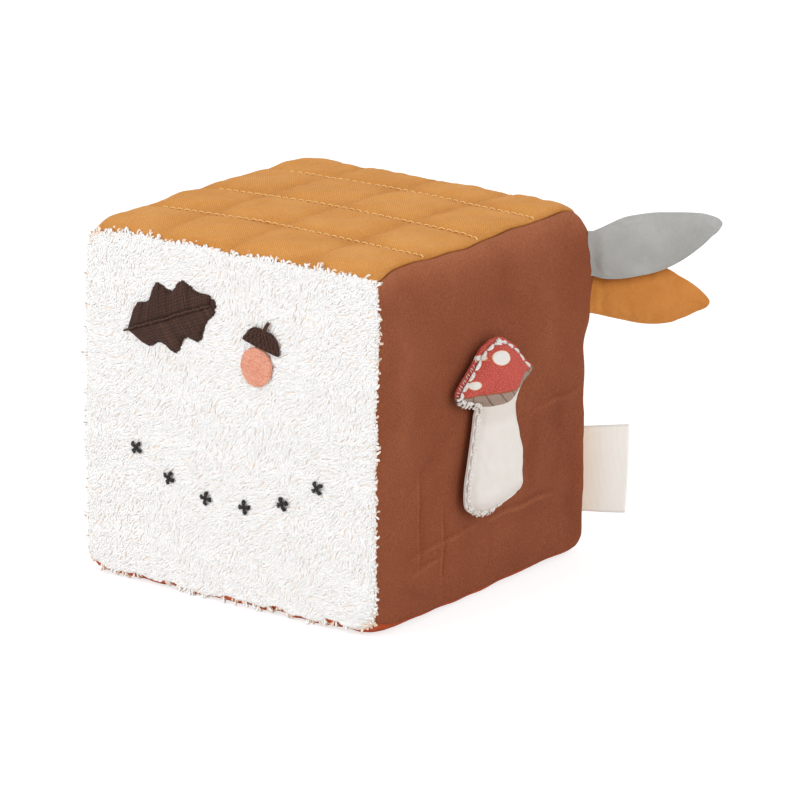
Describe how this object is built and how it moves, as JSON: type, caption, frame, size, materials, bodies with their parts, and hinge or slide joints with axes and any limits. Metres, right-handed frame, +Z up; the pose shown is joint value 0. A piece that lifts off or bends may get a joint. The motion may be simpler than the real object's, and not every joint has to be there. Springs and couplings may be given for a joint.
{
  "type": "soft fabric activity block",
  "caption": "Soft fabric block: six sewn panels over foam, quilted top, towelling front, stuffed toadstool, two leaf tabs, tape loop and a rattle inside.",
  "frame": {"origin": "middle of the flat face that the block stands on", "axes": "+Z up; -Y out of the towelling face; +X out of the face with the toadstool; the tabs stand out along +X and +Y together"},
  "size_m": [0.1552, 0.154, 0.1234],
  "materials": {
    "white_towelling": "looped cotton towelling",
    "rust_twill": "cotton twill, matte",
    "mustard_cotton": "quilted cotton, matte",
    "quilt_thread": "polyester sewing thread, slight sheen",
    "foam": "soft open-cell foam",
    "wadding": "soft fibre wadding",
    "rattle_plastic": "moulded plastic, satin",
    "rattle_ball": "plain steel",
    "grey_cotton": "plain cotton, matte",
    "mustard_leaf_cotton": "plain cotton, matte",
    "crinkle_film": "thin clear film",
    "cream_tape": "woven cotton tape",
    "printed_cotton": "printed plain-weave cotton",
    "plain_cotton": "plain-weave cotton",
    "edging_thread": "twisted cotton thread",
    "dark_embroidery": "satin-stitch thread, slight sheen",
    "peach_embroidery": "satin-stitch thread, slight sheen",
    "black_embroidery": "satin-stitch thread, slight sheen"
  },
  "bodies": {
    "block": {"front_towelling_panel": "white_towelling", "right_twill_panel": "rust_twill", "back_twill_panel": "rust_twill", "left_twill_panel": "rust_twill", "bottom_twill_panel": "rust_twill", "top_quilted_panel": "mustard_cotton", "top_wadding": "wadding", "quilt_thread_long_1": "quilt_thread", "quilt_thread_cross_1": "quilt_thread", "quilt_thread_long_2": "quilt_thread", "quilt_thread_cross_2": "quilt_thread", "quilt_thread_long_3": "quilt_thread", "quilt_thread_cross_3": "quilt_thread", "foam_core_lower": "foam", "foam_core_upper": "foam", "rattle_case_left": "rattle_plastic", "rattle_case_right": "rattle_plastic", "toadstool_back_cloth": "plain_cotton", "toadstool_filling": "wadding", "toadstool_front_cloth": "printed_cotton", "toadstool_edge_stitching": "edging_thread", "embroidered_leaf": "dark_embroidery", "embroidered_nut": "peach_embroidery", "embroidered_cup": "dark_embroidery", "embroidered_sprig_1": "black_embroidery", "embroidered_sprig_2": "black_embroidery", "embroidered_sprig_3": "black_embroidery", "embroidered_sprig_4": "black_embroidery", "embroidered_sprig_5": "black_embroidery", "embroidered_sprig_6": "black_embroidery"},
    "grey_leaf": {"grey_leaf_front_cloth": "grey_cotton", "grey_leaf_back_cloth": "grey_cotton", "grey_leaf_crinkle_film": "crinkle_film"},
    "mustard_leaf": {"mustard_leaf_front_cloth": "mustard_leaf_cotton", "mustard_leaf_back_cloth": "mustard_leaf_cotton", "mustard_leaf_crinkle_film": "crinkle_film"},
    "tape_loop": {"tape_loop": "cream_tape"},
    "rattle_ball_1": {"rattle_ball_1": "rattle_ball"},
    "rattle_ball_2": {"rattle_ball_2": "rattle_ball"},
    "rattle_ball_3": {"rattle_ball_3": "rattle_ball"}
  },
  "joints": [
    {"name": "grey_leaf_bend", "type": "hinge", "parent": "block", "child": "grey_leaf", "pos_m": [0.06233, 0.05979, 0.1055], "axis": [0, 0, 1], "range_deg": [-110, 0], "stiffness_Nm_per_rad": 0.0008},
    {"name": "mustard_leaf_bend", "type": "hinge", "parent": "block", "child": "mustard_leaf", "pos_m": [0.05979, 0.06233, 0.0922], "axis": [0, 0, 1], "range_deg": [0, 110], "stiffness_Nm_per_rad": 0.0008},
    {"name": "tape_loop_bend", "type": "hinge", "parent": "block", "child": "tape_loop", "pos_m": [0.06043, 0.06043, 0.0285], "axis": [0, 0, 1], "range_deg": [-100, 100], "stiffness_Nm_per_rad": 0.0003},
    {"name": "rattle_ball_1_slide", "type": "slide", "parent": "block", "child": "rattle_ball_1", "axis": [1, 0, 0], "range_m": [-0.015, 0.015]},
    {"name": "rattle_ball_2_slide", "type": "slide", "parent": "block", "child": "rattle_ball_2", "axis": [1, 0, 0], "range_m": [-0.015, 0.015]},
    {"name": "rattle_ball_3_slide", "type": "slide", "parent": "block", "child": "rattle_ball_3", "axis": [1, 0, 0], "range_m": [-0.015, 0.015]}
  ]
}
